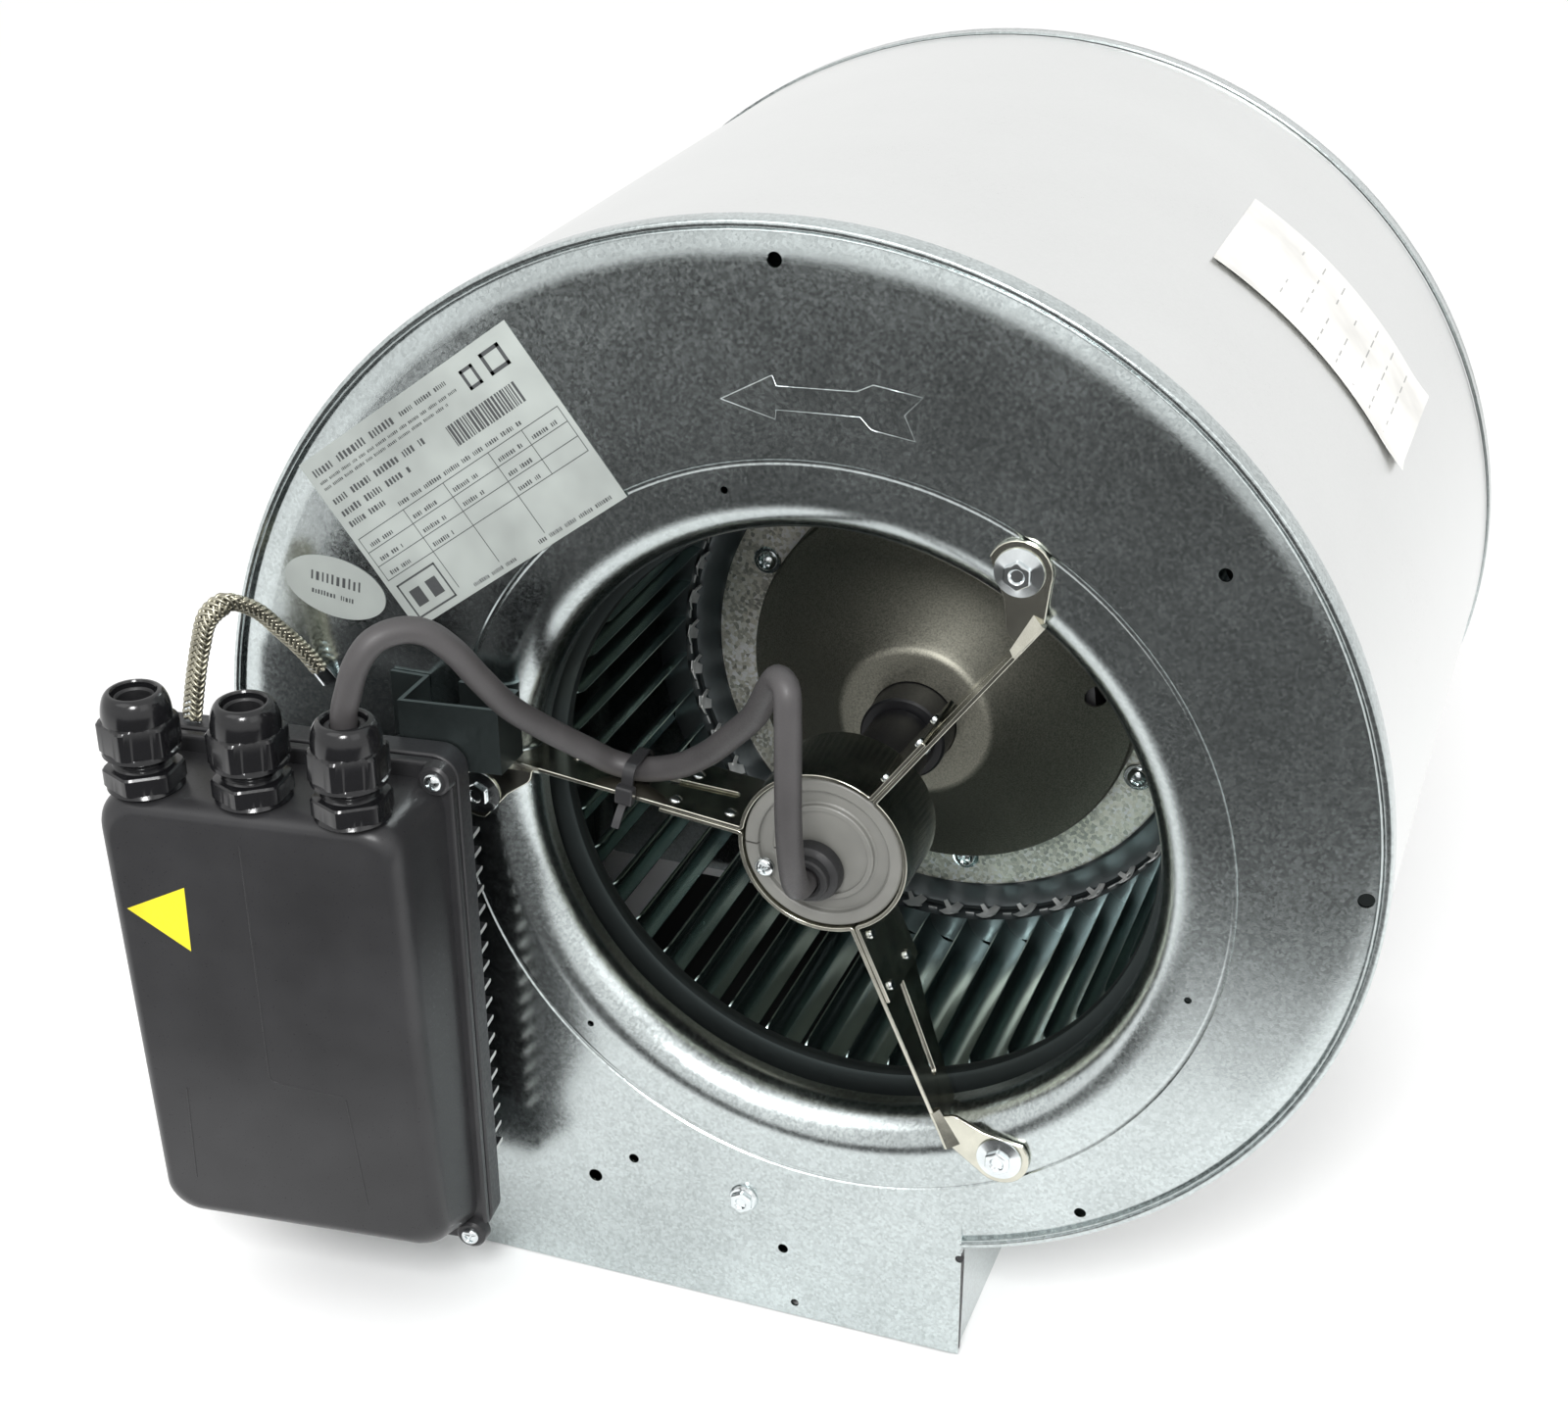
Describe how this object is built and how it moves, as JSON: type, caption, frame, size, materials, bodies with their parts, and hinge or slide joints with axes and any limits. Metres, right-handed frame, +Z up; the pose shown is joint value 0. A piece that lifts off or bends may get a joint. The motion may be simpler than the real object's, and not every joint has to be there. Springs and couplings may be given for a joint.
{
  "type": "centrifugal blower",
  "caption": "Double-inlet centrifugal blower with a forward-curved wheel, a direct-drive motor on three arms and a drive box.",
  "frame": {"origin": "bottom centre of the bounding box, on the surface that the outlet's edges stand on", "axes": "+Z up, away from the outlet; the wheel's axis runs along Y; the motor's inlet and the drive box face -Y; +X to the right seen from there"},
  "size_m": [0.431, 0.3845, 0.4251],
  "materials": {
    "galvanised_sheet": "bright spangled galvanised sheet",
    "galvanised_ring": "matt speckled galvanised sheet",
    "blade_sheet": "smooth galvanised strip, dark teal reflections",
    "yellow_zinc": "yellow passivated zinc",
    "bright_zinc_screw": "bright zinc plated",
    "ground_steel": "ground steel",
    "laminations": "stacked laminations",
    "stator_copper": "varnished laminations and copper windings",
    "motor_grey": "satin grey",
    "blackened_steel": "satin black",
    "dark_disc_paint": "satin black brown",
    "black_plastic": "satin black moulded plastic",
    "black_aluminium": "black anodised die casting",
    "black_rubber": "matt rubber",
    "cable_sheath": "matt dark grey sheath",
    "circuit_board": "green laminate",
    "capacitor_can": "drawn can",
    "tinned_braid": "flat tinned braid",
    "label_film": "silver grey film",
    "label_paper": "white paper",
    "sticker_yellow": "plain yellow film"
  },
  "bodies": {
    "housing": {"box_bracket_lower": "galvanised_sheet", "box_bracket_upper": "galvanised_sheet", "bush_cap": "motor_grey", "bush_cap_screw": "bright_zinc_screw", "cable_grommet": "black_rubber", "cable_tie": "black_plastic", "capacitor": "capacitor_can", "circuit_board": "circuit_board", "cover_gasket": "black_rubber", "cover_screw_1": "bright_zinc_screw", "cover_screw_2": "bright_zinc_screw", "cover_screw_3": "bright_zinc_screw", "cover_screw_4": "bright_zinc_screw", "cutoff_plate": "galvanised_sheet", "drive_cover": "black_plastic", "earth_braid": "tinned_braid", "gland_body_1": "black_plastic", "gland_body_2": "black_plastic", "gland_body_3": "black_plastic", "gland_nut_1": "black_plastic", "gland_nut_2": "black_plastic", "gland_nut_3": "black_plastic", "heat_sink": "black_aluminium", "motor_cable": "cable_sheath", "motor_shaft": "blackened_steel", "outlet_screw": "bright_zinc_screw", "oval_sticker": "label_paper", "rating_label": "label_film", "scroll_wrap": "galvanised_sheet", "shaft_bush": "blackened_steel", "side_plate_front": "galvanised_sheet", "side_plate_rear": "galvanised_sheet", "stator": "stator_copper", "strap_screw_1": "bright_zinc_screw", "strap_screw_2": "bright_zinc_screw", "strap_screw_3": "bright_zinc_screw", "support_bolt_1": "bright_zinc_screw", "support_bolt_2": "bright_zinc_screw", "support_bolt_3": "bright_zinc_screw", "support_strap_1": "yellow_zinc", "support_strap_2": "yellow_zinc", "support_strap_3": "yellow_zinc", "terminal_block": "black_plastic", "triangle_sticker": "sticker_yellow", "wrap_label": "label_paper"},
    "wheel": {"rotor": "laminations", "rotor_can": "dark_disc_paint", "bearing_front": "ground_steel", "bearing_rear": "ground_steel", "wheel_hub": "blackened_steel", "dished_disc": "dark_disc_paint", "centre_ring_plate": "galvanised_ring", "blade_ring_front": "blade_sheet", "blade_ring_rear": "blade_sheet", "disc_bolt_1": "bright_zinc_screw", "disc_bolt_2": "bright_zinc_screw", "disc_bolt_3": "bright_zinc_screw", "disc_bolt_4": "bright_zinc_screw", "disc_bolt_5": "bright_zinc_screw", "disc_bolt_6": "bright_zinc_screw"}
  },
  "joints": [
    {"name": "wheel_spin", "type": "hinge", "parent": "housing", "child": "wheel", "pos_m": [0.0285, -0.1068, 0.2091], "axis": [0, -1, 0], "continuous": true}
  ]
}
